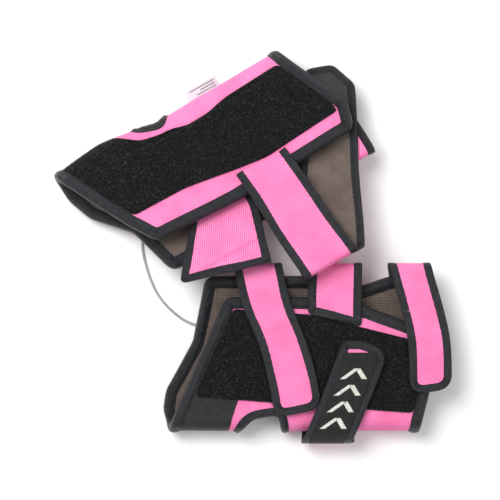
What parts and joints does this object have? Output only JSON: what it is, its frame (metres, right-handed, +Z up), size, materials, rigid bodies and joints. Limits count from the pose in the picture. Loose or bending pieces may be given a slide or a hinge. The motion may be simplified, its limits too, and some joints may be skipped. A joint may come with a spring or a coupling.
{
  "type": "wrist support brace",
  "caption": "Pair of padded gymnastics wrist braces, folded wraps with thumb notches and bound hook-and-loop straps, tied by a plastic loop.",
  "frame": {"origin": "on the surface that the pair lies on, under the middle of its outline", "axes": "+Z up from the surface; +X runs from the right brace's hand end to its forearm end; +Y runs from its thumb side to its slit"},
  "size_m": [0.2785, 0.2762, 0.0426],
  "materials": {
    "badge": "matte",
    "binding_tape": "satin",
    "foam": "matte",
    "hook_patch": "matte",
    "label": "satin",
    "loop_pile": "matte",
    "loop_plastic": "satin",
    "mesh_lining": "matte",
    "pink_cover": "matte",
    "pink_strap": "matte",
    "smooth_black": "satin",
    "stay_plastic": "matte"
  },
  "bodies": {
    "braces": {"left_back_binding": "binding_tape", "left_back_cover": "pink_cover", "left_back_foam": "foam", "left_back_hand_band": "smooth_black", "left_back_lining": "mesh_lining", "left_forearm_strap": "pink_strap", "left_forearm_strap_tape": "binding_tape", "left_wrist_strap": "pink_strap", "left_wrist_strap_tape": "binding_tape", "right_back_binding": "binding_tape", "right_back_cover": "pink_cover", "right_back_foam": "foam", "right_back_hand_band": "smooth_black", "right_back_lining": "mesh_lining", "right_centre_strap": "pink_strap", "right_centre_strap_tape": "binding_tape", "right_forearm_strap": "pink_strap", "right_forearm_strap_tape": "binding_tape", "right_front_binding": "binding_tape", "right_front_cover": "pink_cover", "right_front_foam": "foam", "right_front_hand_band": "smooth_black", "right_front_lining": "mesh_lining", "right_pile_patch": "loop_pile", "right_splint": "stay_plastic", "right_wrist_strap": "pink_strap", "right_wrist_strap_tape": "binding_tape", "size_label": "label", "tie_lock": "loop_plastic", "tie_loop": "loop_plastic"},
    "left_flap": {"left_centre_hook": "hook_patch", "left_centre_strap": "pink_strap", "left_centre_strap_tape": "binding_tape", "left_centre_tail": "pink_strap", "left_centre_tail_tape": "binding_tape", "left_front_binding": "binding_tape", "left_front_cover": "pink_cover", "left_front_foam": "foam", "left_front_hand_band": "smooth_black", "left_front_lining": "mesh_lining", "left_pile_patch": "loop_pile", "left_splint": "stay_plastic"},
    "left_forearm_tail": {"left_forearm_hook": "hook_patch", "left_forearm_tail": "pink_strap", "left_forearm_tail_tape": "binding_tape"},
    "left_wrist_tail": {"left_wrist_hook": "hook_patch", "left_wrist_tail": "pink_strap", "left_wrist_tail_tape": "binding_tape"},
    "right_centre_tail": {"right_badge": "badge", "right_centre_hook": "hook_patch", "right_centre_tail": "pink_strap", "right_centre_tail_tape": "binding_tape"},
    "right_forearm_tail": {"right_forearm_hook": "hook_patch", "right_forearm_tail": "pink_strap", "right_forearm_tail_tape": "binding_tape"},
    "right_wrist_tail": {"right_wrist_hook": "hook_patch", "right_wrist_tail": "pink_strap", "right_wrist_tail_tape": "binding_tape"}
  },
  "joints": [
    {"name": "right_wrist_strap_peel", "type": "hinge", "parent": "braces", "child": "right_wrist_tail", "pos_m": [0.01105, -0.03098, 0.0283], "axis": [-1, 0, 0], "range_deg": [0, 100]},
    {"name": "right_forearm_strap_peel", "type": "hinge", "parent": "braces", "child": "right_forearm_tail", "pos_m": [0.11505, -0.01138, 0.02375], "axis": [-1, 0, 0], "range_deg": [0, 150]},
    {"name": "right_centre_strap_peel", "type": "hinge", "parent": "braces", "child": "right_centre_tail", "pos_m": [0.05305, -0.13808, 0.0143], "axis": [1, 0, 0], "range_deg": [0, 150]},
    {"name": "left_flap_open", "type": "hinge", "parent": "braces", "child": "left_flap", "pos_m": [-0.0541, 0.0973, 0.01034], "axis": [-0.8712, -0.4909, 0], "range_deg": [0, 120]},
    {"name": "left_wrist_strap_unfold", "type": "hinge", "parent": "braces", "child": "left_wrist_tail", "pos_m": [-0.01704, -0.01826, 0.03368], "axis": [0.9728, 0.2317, 0], "range_deg": [0, 50]},
    {"name": "left_forearm_strap_unfold", "type": "hinge", "parent": "braces", "child": "left_forearm_tail", "pos_m": [0.07182, 0.05717, 0.02453], "axis": [0.8712, 0.4909, 0], "range_deg": [0, 50]}
  ],
  "couplings": [
    {"joint": "left_wrist_strap_unfold", "follows": "left_flap_open", "ratio": 0.4},
    {"joint": "left_forearm_strap_unfold", "follows": "left_flap_open", "ratio": 0.4}
  ]
}
